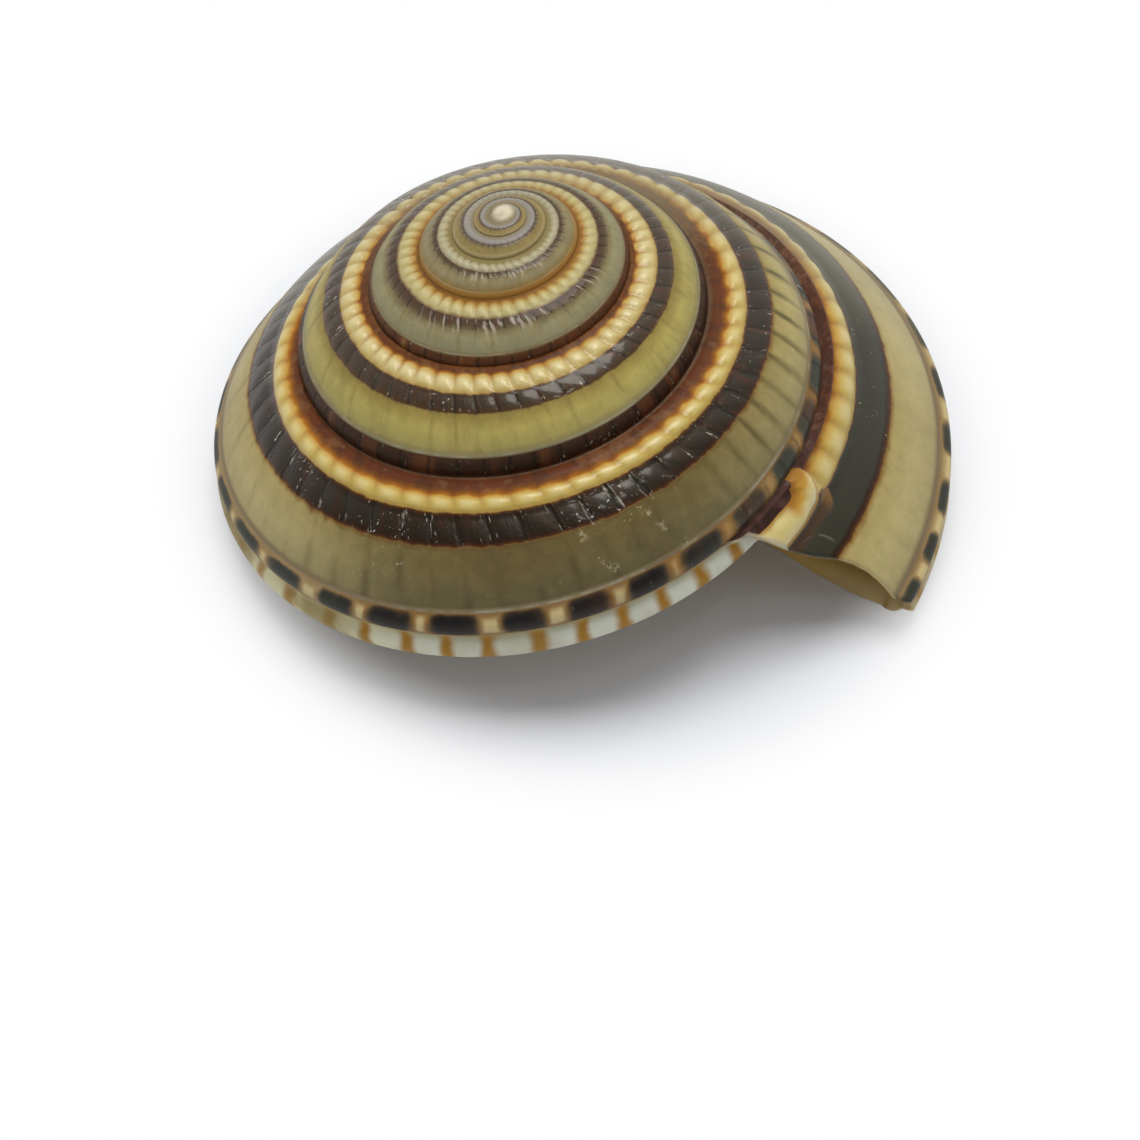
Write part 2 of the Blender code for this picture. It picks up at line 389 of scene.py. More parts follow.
def upper(across, step, sizes):
    """Point of the upper skin; the first turn opens out of the tip."""
    tip = Vector((0.0, 0.0, 0.0))
    if across == SUTURE:
        if step < SEAM_STEPS:
            return tip
        return upper(SEAM, step - SEAM_STEPS, sizes)
    return opened(skin(across, step, sizes), tip, step / STEPS)


def funnel(across, step, sizes):
    """Point of the umbilicus; its first turn opens out of a point under the tip."""
    top = Vector((0.0, 0.0, -side_point(9.62, 0.85, age_at(FUNNEL_STEP, 0.0)).y * MM))
    if across == TOUCH:
        if step < FUNNEL_STEP + SEAM_STEPS:
            return top
        return funnel(NOTCHED, step - SEAM_STEPS, sizes)
    return opened(skin(across, step, sizes), top, (step - FUNNEL_STEP) / STEPS)


def rows(parts):
    """Places across the skin, from (start, end, count) parts."""
    places = [parts[0][0]]
    for start, end, count in parts:
        places += [start + (end - start) * (i + 1) / count for i in range(count)]
    return places


def grow_strip(parts, place, sizes, first, last):
    """Extrude a chain of points across the skin from one growth line to the next."""
    places = rows(parts)
    bm = bmesh.new()
    across = bm.verts.layers.float.new("across")
    step_layer = bm.verts.layers.int.new("step")
    row = bm.verts.layers.int.new("row")
    chain = []
    for number, where in enumerate(places):
        vert = bm.verts.new(place(where, first, sizes))
        vert[across], vert[step_layer], vert[row] = where, first, number
        chain.append(vert)
    edges = [bm.edges.new(pair) for pair in zip(chain, chain[1:])]
    for step in range(first + 1, last + 1):
        edges, fresh = pull(bm, edges)
        for vert in fresh:
            vert.co = place(places[vert[row]], step, sizes)
            vert[step_layer] = step
    return bm


def pull(bm, edges):
    """Extrude edges once; gives the new edges and the new points."""
    made = bmesh.ops.extrude_edge_only(bm, edges=edges)["geom"]
    fresh = {item for item in made if isinstance(item, bmesh.types.BMVert)}
    kept = [item for item in made if isinstance(item, bmesh.types.BMEdge)
            and item.verts[0] in fresh and item.verts[1] in fresh]
    return kept, fresh


def gather(strips):
    """Put the strips into one mesh, with their marks."""
    whole = bmesh.new()
    for strip in strips:
        mark_skin(strip)
        part = bpy.data.meshes.new("strip")
        strip.to_mesh(part)
        strip.free()
        whole.from_mesh(part)
        bpy.data.meshes.remove(part)
    return whole


def mouth_loop(step, sizes):
    """Outline of the last whorl's tube, from the suture round to it again, with its marks."""
    loop = [(where, upper(where, step, sizes)) for where in rows(UPPER_ROWS)]
    loop += [(where, skin(where, step, sizes)) for where in rows(BASE_ROWS)[1:]]
    loop += [(where, funnel(where, step, sizes)) for where in rows(FUNNEL_ROWS)[1:]]
    loop += [(TOUCH, skin(where, step - SEAM_STEPS, sizes))
             for where in reversed(rows(BASE_ROWS)[1:-1])]
    return loop


def add_chamber(bm, sizes):
    """Turn the lip inwards and run it back into the shell as a closed hollow."""
    row = bm.verts.layers.int["row"]
    coil = bm.loops.layers.uv["coil"]
    loop = mouth_loop(LIP_STEP, sizes)
    rim = [vert for vert in bm.verts if any(edge.is_boundary for edge in vert.link_edges)]
    lip = [min(rim, key=lambda vert: (vert.co - point).length) for _, point in loop]
    edges = [bm.edges.get((lip[i - 1], lip[i])) for i in range(len(lip))]
    for number, vert in enumerate(lip):
        vert[row] = number
    count = int(CHAMBER_TURNS * STEPS / CHAMBER_STRIDE)
    for number in range(count + 1):
        step = LIP_STEP - number * CHAMBER_STRIDE
        tail = max((number - (1.0 - CHAMBER_TAPER) * count) / (CHAMBER_TAPER * count), 0.0)
        wall = sizes.lip_edge if number == 0 else CHAMBER_SHARE
        share = wall + (CHAMBER_END - wall) * tail * tail
        loop = mouth_loop(step, sizes)
        middle = sum((point for _, point in loop), Vector()) / len(loop)
        edges, fresh = pull(bm, edges)
        ages = (age_at(step + (CHAMBER_STRIDE if number else 0), 0.0), age_at(step, 0.0))
        for vert in fresh:
            vert.co = middle.lerp(loop[vert[row]][1], share)
        for face in {face for vert in fresh for face in vert.link_faces}:
            face.material_index = 1
            for corner in face.loops:
                corner[coil].uv = (ages[corner.vert in fresh], loop[corner.vert[row]][0])
    end = bmesh.ops.edgeloop_fill(bm, edges=edges)["faces"]
    for face in end:
        face.material_index = 1


def mark_skin(bm):
    """Write the places along and across the coil into the UV maps the finish reads."""
    across = bm.verts.layers.float["across"]
    step_layer = bm.verts.layers.int["step"]
    coil = bm.loops.layers.uv.new("coil")
    beads = bm.loops.layers.uv.new("beads")
    marks = bm.loops.layers.uv.new("marks")
    for vert in bm.verts:
        where, step = vert[across], vert[step_layer]
        age = age_at(step, lean_at(where, step))
        bead = bead_phase(slanted(where, age))
        for loop in vert.link_loops:
            loop[coil].uv = (age, where)
            loop[beads].uv = (bead, (LIP_STEP - step) / STEPS)
            loop[marks].uv = (dash_phase(age), spot_phase(age))


def rest_turn():
    """The lean at which the shell rests."""
    lean = Matrix.Rotation(math.radians(TURN_X), 3, "X")
    return lean @ Matrix.Rotation(math.radians(TURN_Y), 3, "Y")


def tip_of_solid():
    """The solid's farthest point along the coil's own axis."""
    axis = rest_turn() @ Vector((0.0, 0.0, 1.0))
    return max((vert.co for vert in SOLID.data.vertices), key=lambda co: co.dot(axis)).copy()


def lay_down(bm):
    """Lean the shell as it rests and bring its tip to the solid's tip."""
    bmesh.ops.transform(bm, matrix=rest_turn().to_4x4(), verts=bm.verts)
    bmesh.ops.translate(bm, vec=tip_of_solid(), verts=bm.verts)


def sum_of(operation, swapped=False):
    """One of a Wire's sums: it adds a Math node, its values swapped for a reflected operator."""
    def add_node(*values):
        wire = values[0]
        values = reversed(values) if swapped else values
        return wire.paint.node("ShaderNodeMath", {"operation": operation}, dict(enumerate(values)))
    return add_node


class Wire:
    """A socket that can be used in sums."""

    def __init__(self, paint, socket):
        self.paint = paint
        self.socket = socket

    __add__ = __radd__ = sum_of("ADD")
    __mul__ = __rmul__ = sum_of("MULTIPLY")
    __sub__, __rsub__ = sum_of("SUBTRACT"), sum_of("SUBTRACT", swapped=True)
    __truediv__, __rtruediv__ = sum_of("DIVIDE"), sum_of("DIVIDE", swapped=True)
    __pow__ = sum_of("POWER")
    sine, size = sum_of("SINE"), sum_of("ABSOLUTE")
    top, low = sum_of("MAXIMUM"), sum_of("MINIMUM")
    part = sum_of("FRACT")  # what is left over a whole number

    def step(self, start, end):
        """0 below start, 1 above end, eased."""
        return self.paint.node("ShaderNodeMapRange", {"interpolation_type": "SMOOTHSTEP"},
                               {"Value": self, "From Min": start, "From Max": end})

    def until(self, start, end):
        """1 below start, 0 above end, eased."""
        return 1.0 - self.step(start, end)

    def band(self, start, end, soft):
        """1 between start and end, with soft edges."""
        return self.step(start - soft, start + soft) * self.until(end - soft, end + soft)


class Paint:
    """Builds the node tree of a material or a world."""

    def __init__(self, owner):
        self.owner = owner
        owner.use_nodes = True
        self.tree = owner.node_tree
        self.shader = self.tree.nodes.get("Principled BSDF")

    def node(self, kind, settings=None, values=None, output=0):
        """Any node: its settings are set first, then its sockets; gives one output."""
        made = self.tree.nodes.new(kind)
        for name, value in (settings or {}).items():
            if name == "stops":
                self.set_stops(made.color_ramp, value)
            else:
                setattr(made, name, value)
        for key, value in (values or {}).items():
            self.feed(made.inputs[key], value)
        return Wire(self, made.outputs[output])

    def feed(self, socket, value):
        if isinstance(value, Wire):
            self.tree.links.new(value.socket, socket)
        else:
            socket.default_value = value

    def set_stops(self, ramp, stops):
        while len(ramp.elements) > 1:
            ramp.elements.remove(ramp.elements[-1])
        ramp.elements[0].position = stops[0][0]
        ramp.elements[0].color = stops[0][1]
        for place, color in stops[1:]:
            ramp.elements.new(place).color = color

    def uv(self, name):
        """Both values of a UV map."""
        place = self.node("ShaderNodeUVMap", {"uv_map": name})
        split = self.node("ShaderNodeSeparateXYZ", None, {0: place})
        return split, Wire(self, split.socket.node.outputs[1])

    def noise(self, place, scale, detail=2.0, rough=0.5):
        return self.node("ShaderNodeTexNoise", None,
                         {"Vector": place, "Scale": scale, "Detail": detail, "Roughness": rough})

    def mix(self, share, low, high, kind="MIX"):
        """Low where the share is 0, high where it is 1."""
        made = self.node("ShaderNodeMix", {"data_type": "RGBA", "blend_type": kind}, None, 2)
        inputs = made.socket.node.inputs
        self.feed(inputs[0], share)
        self.feed(inputs[6], low)
        self.feed(inputs[7], high)
        return made

    def bump(self, height, strength, distance):
        return self.node("ShaderNodeBump", None,
                         {"Height": height, "Strength": strength, "Distance": distance})

    def shade(self, values):
        """Link or set sockets of the shader."""
        for name, value in values.items():
            self.feed(self.shader.inputs[name], value)


class Coating(Paint):
    """A finish of the shell, made by laying one colour over another."""

    def __init__(self, name, colors):
        super().__init__(bpy.data.materials.new(name))
        self.colors = colors
        self.color = None

    def lay(self, share, color, kind="MIX"):
        """Lay a colour over what is there."""
        self.color = self.mix(share, self.color, color, kind)

    def bands(self, bands, across, low, high):
        """Colour of the bands at a place across the skin between low and high."""
        stops = [((place - low) / (high - low), rgb(*levels)) for place, *levels in bands]
        return self.node("ShaderNodeValToRGB", {"stops": stops}, {0: (across - low) / (high - low)})


def rgb(red, green, blue):
    """Screen colour, 0 to 255, as a linear colour."""
    def linear(level):
        level = level / 255.0
        return level / 12.92 if level <= 0.04045 else ((level + 0.055) / 1.055) ** 2.4
    return (linear(red), linear(green), linear(blue), 1.0)


# Colours across the skin, outwards from the suture: place across, then red, green and blue
# from 0 to 255. From the first turns to the last whorl, and the base.
FIRST_BANDS = (
    (0.00, 138, 124, 92), (0.45, 142, 130, 104), (0.75, 146, 138, 124), (1.10, 152, 146, 138),
    (1.80, 156, 150, 144), (2.02, 116, 106, 98), (2.20, 82, 72, 60), (2.60, 122, 106, 76),
    (3.20, 148, 130, 88), (4.00, 170, 152, 108), (5.00, 164, 146, 100),
)
SECOND_BANDS = (
    (0.00, 134, 118, 72), (0.60, 138, 124, 78), (0.95, 146, 132, 88), (1.12, 170, 160, 124),
    (1.50, 186, 180, 146), (1.85, 170, 162, 130), (2.03, 106, 86, 60), (2.12, 70, 51, 37),
    (2.50, 96, 81, 56), (2.80, 134, 122, 88), (3.40, 151, 142, 118), (3.90, 146, 126, 84),
    (4.10, 160, 118, 58), (4.60, 158, 112, 46), (5.00, 150, 106, 46),
)
EARLY_BANDS = (
    (0.00, 106, 70, 36), (0.30, 132, 92, 42), (0.65, 140, 98, 40), (0.90, 146, 98, 34),
    (1.06, 164, 116, 46), (1.20, 184, 152, 80), (1.48, 198, 184, 124), (1.85, 188, 176, 122),
    (2.02, 116, 86, 56), (2.12, 72, 49, 33), (2.60, 84, 65, 44), (2.90, 114, 100, 70),
    (3.30, 156, 152, 124), (3.85, 150, 147, 124), (4.00, 126, 108, 76), (4.15, 90, 54, 30),
    (4.60, 84, 48, 27), (5.00, 104, 64, 32),
)
MIDDLE_BANDS = (
    (0.00, 92, 62, 38), (0.22, 124, 88, 50), (0.42, 112, 62, 26), (0.74, 104, 54, 18),
    (0.90, 142, 84, 18), (1.02, 184, 130, 48), (1.13, 206, 172, 94), (1.40, 216, 198, 138),
    (1.80, 210, 190, 124), (1.97, 184, 152, 84), (2.05, 80, 50, 26), (2.15, 60, 46, 30),
    (2.70, 62, 48, 32), (2.93, 84, 56, 32), (3.02, 152, 134, 76), (3.40, 190, 176, 108),
    (3.80, 178, 168, 110), (3.96, 148, 140, 104), (4.08, 66, 42, 28), (4.50, 48, 31, 20),
    (4.90, 68, 34, 18), (5.00, 92, 54, 30),
)
LATE_BANDS = (
    (0.00, 84, 62, 46), (0.10, 106, 82, 60), (0.22, 96, 54, 30), (0.36, 94, 44, 14),
    (0.66, 100, 46, 12), (0.84, 130, 74, 14), (1.00, 170, 106, 20), (1.12, 202, 158, 70),
    (1.35, 210, 184, 100), (1.75, 208, 184, 100), (1.95, 186, 152, 76), (2.02, 84, 46, 20),
    (2.10, 44, 31, 20), (2.60, 38, 31, 23), (2.88, 46, 28, 16), (2.97, 88, 46, 18),
    (3.01, 146, 112, 58), (3.08, 182, 166, 116), (3.50, 192, 178, 132), (3.88, 178, 166, 128),
    (3.96, 124, 110, 84), (4.06, 128, 108, 78), (4.22, 196, 172, 120), (4.85, 194, 170, 118),
    (4.97, 150, 130, 96), (5.10, 158, 146, 112), (5.35, 166, 160, 130), (5.85, 196, 195, 170),
    (6.10, 220, 222, 204), (6.85, 222, 222, 202), (7.10, 170, 154, 96),
)
BASE_BANDS = (
    (7.00, 214, 206, 174), (7.15, 156, 122, 78), (7.35, 208, 192, 150), (7.80, 224, 212, 178),
    (8.02, 146, 108, 66), (8.15, 200, 180, 134), (9.00, 214, 198, 158), (10.20, 220, 208, 172),
    (10.75, 194, 164, 114), (10.95, 124, 72, 34), (11.20, 218, 206, 174), (12.30, 232, 226, 204),
    (12.75, 144, 94, 54), (13.10, 210, 198, 170), (14.00, 180, 164, 134),
)
LATE_END = 7.5              # how far across the late bands reach

# Bands with the ages between which they set in, and how far across they reach
LATER_BANDS = ((SECOND_BANDS, -2.9, -2.1, SEAM), (EARLY_BANDS, -1.9, -1.2, SEAM),
               (MIDDLE_BANDS, -0.9, -0.1, SEAM), (LATE_BANDS, 0.35, 0.95, LATE_END))


def color_setting(name, description, color):
    """A colour that a user can change."""
    return FloatVectorProperty(name=name, description=description, subtype="COLOR",
                               size=4, min=0.0, max=1.0, default=color)


class ShellSizes(bpy.types.PropertyGroup):
    """Relief of the shell."""

    cord_height: FloatProperty(
        name="Cream cord", description="Height of the cream cord on the last whorl",
        default=0.22 * MM, min=0.0, unit="LENGTH", precision=5)
    bead_depth: FloatProperty(
        name="Bead depth", description="How deeply the gaps between beads cut the cream cord",
        default=0.7, min=0.0, max=1.0, subtype="FACTOR")
    pleat_height: FloatProperty(
        name="Pleats", description="Depth of the radial pleats on the dark band",
        default=0.08 * MM, min=0.0, unit="LENGTH", precision=5)
    knob_height: FloatProperty(
        name="New cord", description="Height of the cord that grew over the healed break",
        default=0.36 * MM, min=0.0, unit="LENGTH", precision=5)
    lip_edge: FloatProperty(
        name="Lip edge", description="Size of the mouth's opening beside the whorl's outline",
        default=0.975, min=0.8, max=1.0, subtype="FACTOR")


class ShellColors(bpy.types.PropertyGroup):
    """Colours that stand over the bands."""

    dash: color_setting("Dashes", "Dark dashes of the rim cord", rgb(30, 27, 29))
    dash_edge: color_setting("Dash ends", "Brown ends of the dashes", rgb(146, 104, 48))
    spot: color_setting("Keel spots", "Orange spots of the pale keel", rgb(170, 122, 34))
    pale: color_setting("Pale edge", "Pale edge of the lip and worn places", rgb(200, 188, 158))
    mouth: color_setting("Mouth", "Floor and walls of the mouth", rgb(208, 172, 86))
    mouth_deep: color_setting("Deep mouth", "Mouth further in", rgb(190, 136, 50))


class StageSettings(bpy.types.PropertyGroup):
    """Table, light and camera."""

    # Bluish grey cloth near the shell: painted shade that makes the table's shadow there darker and
    # cooler
    table: color_setting("Table", "Colour of the table", (0.80, 0.83, 0.90, 1.0))
    lamp_power: FloatProperty(
        name="Lamp", description="Power of the soft lamp overhead",
        default=0.86, min=0.0, unit="POWER")
    sparkle_power: FloatProperty(
        name="Sparkle", description="Power of the small lamp that gives the glints",
        default=0.025, min=0.0, unit="POWER")
    sky: FloatProperty(
        name="Sky", description="Strength of the light all round",
        default=0.38, min=0.0, subtype="FACTOR")
    sky_front: FloatProperty(
        name="Gloss in front", description="Strength of the room the gloss sees in front",
        default=0.08, min=0.0, subtype="FACTOR")
    sky_back: FloatProperty(
        name="Gloss behind", description="Strength of the room the gloss sees behind",
        default=0.8, min=0.0, subtype="FACTOR")


class OnCoil:
    """Where a point of the outside lies on the coil, with the noises and masks that it needs."""

    def __init__(self, paint):
        self.paint = paint
        self.age, self.across = paint.uv("coil")
        self.beads, self.behind = paint.uv("beads")
        self.dash, self.spot = paint.uv("marks")
        self.place = paint.node("ShaderNodeTexCoord", output="Object")
        self.depth = paint.node("ShaderNodeSeparateXYZ", None, {0: self.place}, "Y") / MM
        self.depth = self.depth - tip_of_solid().y / MM

        # Noises, and two of them from -0.5 to 0.5
        self.coarse = paint.noise(self.place, COARSE, 3.0)
        self.fine = paint.noise(self.place, FINE, 3.0)
        self.grit = paint.noise(self.place, GRIT, 3.0, 0.7)
        self.streak = self.drawn_out(2.2, 0.7, 0.0, 4.0, 0.62)
        self.crack = self.drawn_out(9.0, 1.6, 5.0)
        self.drift, self.jitter = self.coarse - 0.5, self.fine - 0.5

        # Bead tops, and between them a valley, an uneven gap and the thin line in it
        self.bead_top = (self.beads * math.pi).sine().size()
        self.valley = ((self.beads * 2.0 * math.pi + math.pi / 2.0).sine() * 0.5 + 0.5) ** 5.0
        uneven = self.beads + self.jitter * 0.26 + self.drift * 0.3
        self.gap = 1.0 - (uneven * math.pi).sine().size()
        self.line = self.gap.step(0.6, 0.98)

        # The last half turn grew smooth; the dark band before it is broken into blocks
        self.smooth = self.age.step(1.3, 1.55)
        self.broken = 1.0 - self.smooth * 0.85
        self.ragged = (self.jitter * 0.14 + (self.streak - 0.5) * 0.16) * (1.0 - self.smooth * 0.4)
        self.wavy = self.waver()
        self.on_cream = self.wavy.band(1.05, 1.95, 0.08)
        self.on_dark = self.wavy.band(2.06, 2.96, 0.05)
        self.blocks = self.across.band(4.1, 4.95, 0.04) * self.age.band(-1.1, 0.9, 0.2)
        # Painted highlights: pale glint specks for the dark band and the rim cord's blocks
        self.painted_glint = self.painted_glints()
        self.near = ((self.spot + self.drift * 0.5 + 0.5).part() - 0.5).size() + self.jitter * 0.14

    def drawn_out(self, along, over, seed, detail=2.0, rough=0.5):
        """Noise drawn out along the growth lines; along the coil it counts in beads."""
        place = self.paint.node("ShaderNodeCombineXYZ", None,
                                {0: self.beads * along, 1: self.across * over, 2: seed})
        return self.paint.noise(place, 1.0, detail, rough)

    def waver(self):
        """Place across as the bands take it: ragged, scalloped by the beads, narrower behind."""
        rear = self.depth.step(2.5, 8.0)
        scallop = (0.2 - self.age.step(0.8, 1.2) * 0.1) * (0.3 + self.coarse * 1.4)
        wavy = self.across + self.ragged * (1.0 - self.across.band(3.85, 4.1, 0.05))
        wavy = wavy + (self.bead_top - 0.75) * scallop * self.across.band(0.75, 1.3, 0.2)
        wavy = wavy + self.jitter * 0.3 * self.across.band(0.5, 1.1, 0.15)
        wavy = wavy + self.age.step(1.775, 1.815) * self.across.band(1.75, 2.4, 0.15) * 0.13
        wavy = wavy + rear * self.across.band(1.5, 2.2, 0.15) * 0.24
        return wavy - rear * self.across.band(0.8, 1.3, 0.15) * 0.18

    def painted_glints(self):
        """Painted highlights: broken glints and pale glint dots of the dark band."""
        glint_dots = self.paint.noise(self.place, GLINT_DOTS, 1.0).step(0.67, 0.73)
        glint_dots = glint_dots * self.coarse.step(0.5, 0.62)
        glint_dots = glint_dots * self.age.step(-0.4, 0.3) * (1.0 - self.age.band(0.55, 0.86, 0.06) * 0.9)
        painted_glint = self.crack.step(0.62, 0.7) * self.grit.step(0.5, 0.56) * self.gap.step(0.1, 0.5)
        return painted_glint.top(glint_dots) * (1.0 - self.smooth)


def lay_bands(coat, at):
    """Colours of the bands, turn by turn."""
    coat.color = coat.bands(FIRST_BANDS, at.wavy, SUTURE, SEAM)
    for bands, start, end, far in LATER_BANDS:
        coat.lay(at.age.step(start, end), coat.bands(bands, at.wavy, SUTURE, far))


def lay_suture(coat, at):
    """Dark and pale stains beside the suture."""
    beside_suture = at.across.band(0.0, 0.92, 0.1) * at.age.step(-1.2, -0.6)
    coat.lay(beside_suture * (at.streak + at.jitter * 0.6).step(0.4, 0.62) * 0.5, rgb(56, 32, 22))
    coat.lay(beside_suture * (at.fine + at.drift * 0.8).step(0.5, 0.66) * 0.4, rgb(138, 96, 58))


def lay_beads(coat, at):
    """Brownish gaps between the beads, and a painted highlight on the bead tops."""
    inner = 1.0 - at.across.step(1.2, 1.9) * 0.65
    grown = at.age.step(-2.2, 0.2)
    coat.lay(at.valley * at.on_cream * inner * grown * 0.5, rgb(158, 112, 40))
    # Painted highlight: pale cream on the tops of the beads
    coat.lay(at.bead_top.step(0.55, 1.0) * at.across.band(1.3, 1.7, 0.2) * grown * 0.35,
             rgb(240, 228, 184))


def lay_dark_band(coat, at):
    """Blocks between the radial grooves, reddish here and there, with painted glints."""
    coat.lay(at.line * at.on_dark * at.broken * 0.6, rgb(22, 17, 13))
    reddish = at.streak.step(0.5, 0.68) * at.on_dark * at.broken
    coat.lay(reddish * (0.5 - at.age.step(0.8, 0.98) * 0.25), rgb(88, 42, 24))
    coat.lay(at.wavy.band(2.06, 2.82, 0.06) * at.smooth * 0.85, rgb(60, 60, 50))
    scratch = (at.crack + at.drift * 0.3).step(0.6, 0.66) * at.gap.step(0.35, 0.8)
    scratch = scratch * at.age.band(0.85, 1.4, 0.06) * at.fine.step(0.4, 0.52)
    coat.lay(scratch * at.on_dark * 0.6, rgb(158, 156, 144))
    # Painted highlights: pale glint specks on the dark band
    coat.lay(at.painted_glint * at.on_dark * 0.75, rgb(206, 198, 182))
    # Painted highlights: pale streaks along the pleat ribs of two early whorls, where the light
    # catches them
    painted_pleat_glint = at.drawn_out(3.2, 0.5, 9.0).step(0.54, 0.66) * at.across.band(2.1, 3.2, 0.2)
    worn = at.age.band(-1.17, -0.88, 0.04) + at.age.band(-2.14, -1.9, 0.04)
    coat.lay(painted_pleat_glint * worn * 0.5, rgb(214, 200, 184))


def lay_tan_band(coat, at):
    """Growth lines that fade outwards, and a thin pale line along the groove."""
    on_tan = at.wavy.band(3.0, 3.94, 0.03)
    growth_line = (at.line * 0.5 + at.valley * 0.5) * (1.0 - at.across.step(3.2, 4.0) * 0.8)
    growth_line = growth_line * (at.streak + at.drift * 0.4).step(0.4, 0.6)
    deep_line = at.age.band(0.55, 0.88, 0.08) * 0.65 + 0.32 - at.smooth * 0.18
    coat.lay(growth_line * on_tan * deep_line, rgb(84, 78, 44))
    even = at.age.step(1.0, 1.15)
    coat.lay(at.streak.step(0.42, 0.7) * on_tan * (0.3 - even * 0.16), rgb(150, 128, 80))
    radial = at.valley * at.age.band(0.55, 0.91, 0.08) * (1.0 - at.across.step(3.3, 3.95) * 0.6)
    coat.lay(radial * on_tan * 0.55, rgb(90, 84, 48))
    browned = at.age.step(0.74, 0.94) * at.age.until(1.04, 1.18) * on_tan
    grey_green = coat.mix((at.across + at.drift * 1.2).step(3.2, 3.8), rgb(95, 81, 52),
                          rgb(90, 84, 60))
    coat.lay(browned * 0.85, grey_green)
    stripe = at.valley * at.age.band(0.93, 1.12, 0.04) * at.across.step(3.2, 3.7)
    coat.lay(stripe * on_tan * at.coarse.step(0.4, 0.58) * 0.4, rgb(72, 60, 36))
    coat.lay(on_tan * at.age.band(1.42, 1.72, 0.08) * 0.5, rgb(222, 208, 164))
    coat.lay(on_tan * 0.6, coat.mix((at.fine + (at.grit - 0.5) * 0.6).step(0.3, 0.7),
                                    rgb(174, 180, 180), rgb(206, 202, 198)), "SOFT_LIGHT")
    cloud = at.drawn_out(0.45, 0.5, 3.0)
    coat.lay(on_tan * 0.5, coat.mix(cloud, rgb(140, 134, 108), rgb(214, 206, 170)), "SOFT_LIGHT")
    thread = at.across.band(3.965, 4.01, 0.016) * at.age.until(1.03, 1.12)
    coat.lay(thread * (at.coarse + at.fine).step(0.8, 1.2) * 0.5, rgb(176, 172, 150))


def lay_rim_cord(coat, at):
    """Dashes of the rim cord, and its brown pieces beside the next suture."""
    on_cord = at.age.step(0.15, 0.7) * at.across.band(4.02, 5.05, 0.04)
    half = 0.46 - at.age.step(0.4, 1.0) * 0.12 - at.drift * 0.18
    half = half + at.age.band(1.08, 1.5, 0.04) * 0.02 - at.age.step(1.65, 1.78) * 0.07
    along = (0.5 - ((at.dash + at.drift * 0.3 + 0.5).part() - 0.5).size()) / half
    on_left = at.age.step(1.05, 1.15)
    over = (at.across - 4.52 + at.ragged) / (0.48 - on_left * 0.1)
    reach = along ** 5.0 + over.size() ** 6.0 + at.jitter * 1.2
    coat.lay(on_left * at.across.band(GROOVE, SEAM, 0.06) * (0.85 - at.smooth * 0.5),
             coat.mix(at.coarse, rgb(140, 118, 84), rgb(188, 166, 126)))
    stain = (along + at.drift * 1.2).until(1.0, 1.35)
    coat.lay(on_cord * along.step(0.9, 1.1) * (0.72 - on_left * 0.42), rgb(140, 106, 62))
    coat.lay(on_cord * stain * (0.7 - on_left * 0.4), coat.colors.dash_edge)
    pale_spot = (along + at.jitter * 0.2).step(1.12, 1.34)
    pale_spot = pale_spot * (over.size() + at.drift * 0.5).until(0.3, 0.9)
    shaded = at.age.band(0.5, 0.93, 0.03)
    coat.lay(on_cord * pale_spot * (0.75 - shaded * 0.3),
             coat.mix(shaded, rgb(224, 204, 150), rgb(192, 148, 86)))
    faded = at.age.band(0.3, 0.9, 0.05) + on_left * 0.8
    dark_dash = coat.mix(faded, coat.colors.dash, rgb(64, 66, 58))
    coat.lay(on_cord * reach.until(0.0, 2.0), dark_dash)
    piece = at.drawn_out(0.55, 0.0, 7.0, 3.0)
    coat.lay(at.blocks * piece.step(0.5, 0.6) * 0.7, rgb(104, 58, 30))
    coat.lay(at.blocks * piece.step(0.62, 0.68) * 0.7, rgb(150, 110, 54))
    coat.lay(at.blocks * at.line * 0.6, rgb(26, 18, 16))
    # Painted highlights: pale glint specks on the cord's blocks
    coat.lay(at.blocks * at.painted_glint * 0.6, rgb(196, 188, 170))


def lay_keel(coat, at):
    """Pale keel with its orange spots and stains."""
    keel = at.across.band(5.1, 7.3, 0.2)
    coat.lay(keel * at.age.band(1.08, 1.45, 0.05) * 0.85, rgb(230, 222, 172))
    coat.lay(keel * at.age.step(1.45, 1.55) * 0.8, rgb(206, 186, 140))
    on_keel = at.across.band(5.25, 7.05, 0.2) * at.age.step(0.3, 0.6)
    on_keel = on_keel * (1.0 - at.age.step(1.1, 1.2) * 0.35)
    wide = 0.16 + at.across.step(6.2, 7.0) * 0.05 + at.drift * 0.12
    coat.lay(on_keel * at.near.until(wide - 0.12, wide + 0.12), coat.colors.spot)
    stained = at.across.band(5.0, 7.2, 0.2) * at.coarse.step(0.42, 0.6)
    stained = stained * (0.25 + at.age.band(1.08, 1.4, 0.06) * 0.6)
    coat.lay(stained, rgb(152, 130, 74))


def lay_back_shade(coat, at):
    """Painted shade and haze on the back: the colours there are dulled towards olive grey, most
    beside the suture.
    """
    back_shade = (at.depth + at.drift * 3.0).step(0.5, 7.0)
    back_shade = back_shade * (0.34 + at.across.band(0.0, 1.35, 0.1) * 0.25)
    coat.lay(back_shade * at.across.until(5.0, 5.4), rgb(146, 140, 114))


def lay_base(coat, at):
    """Base, its second cord and the umbilicus."""
    coat.lay(at.wavy.step(FOOT, 7.1), coat.bands(BASE_BANDS, at.wavy, FOOT, TOUCH))
    notch = at.across.band(11.1, 12.5, 0.15) * at.gap.step(0.5, 0.9)
    coat.lay(notch * 0.7, rgb(140, 92, 50))
    cord_spots = at.across.band(7.35, 7.95, 0.08) * at.near.until(0.16, 0.28)
    coat.lay(cord_spots, rgb(132, 84, 40))


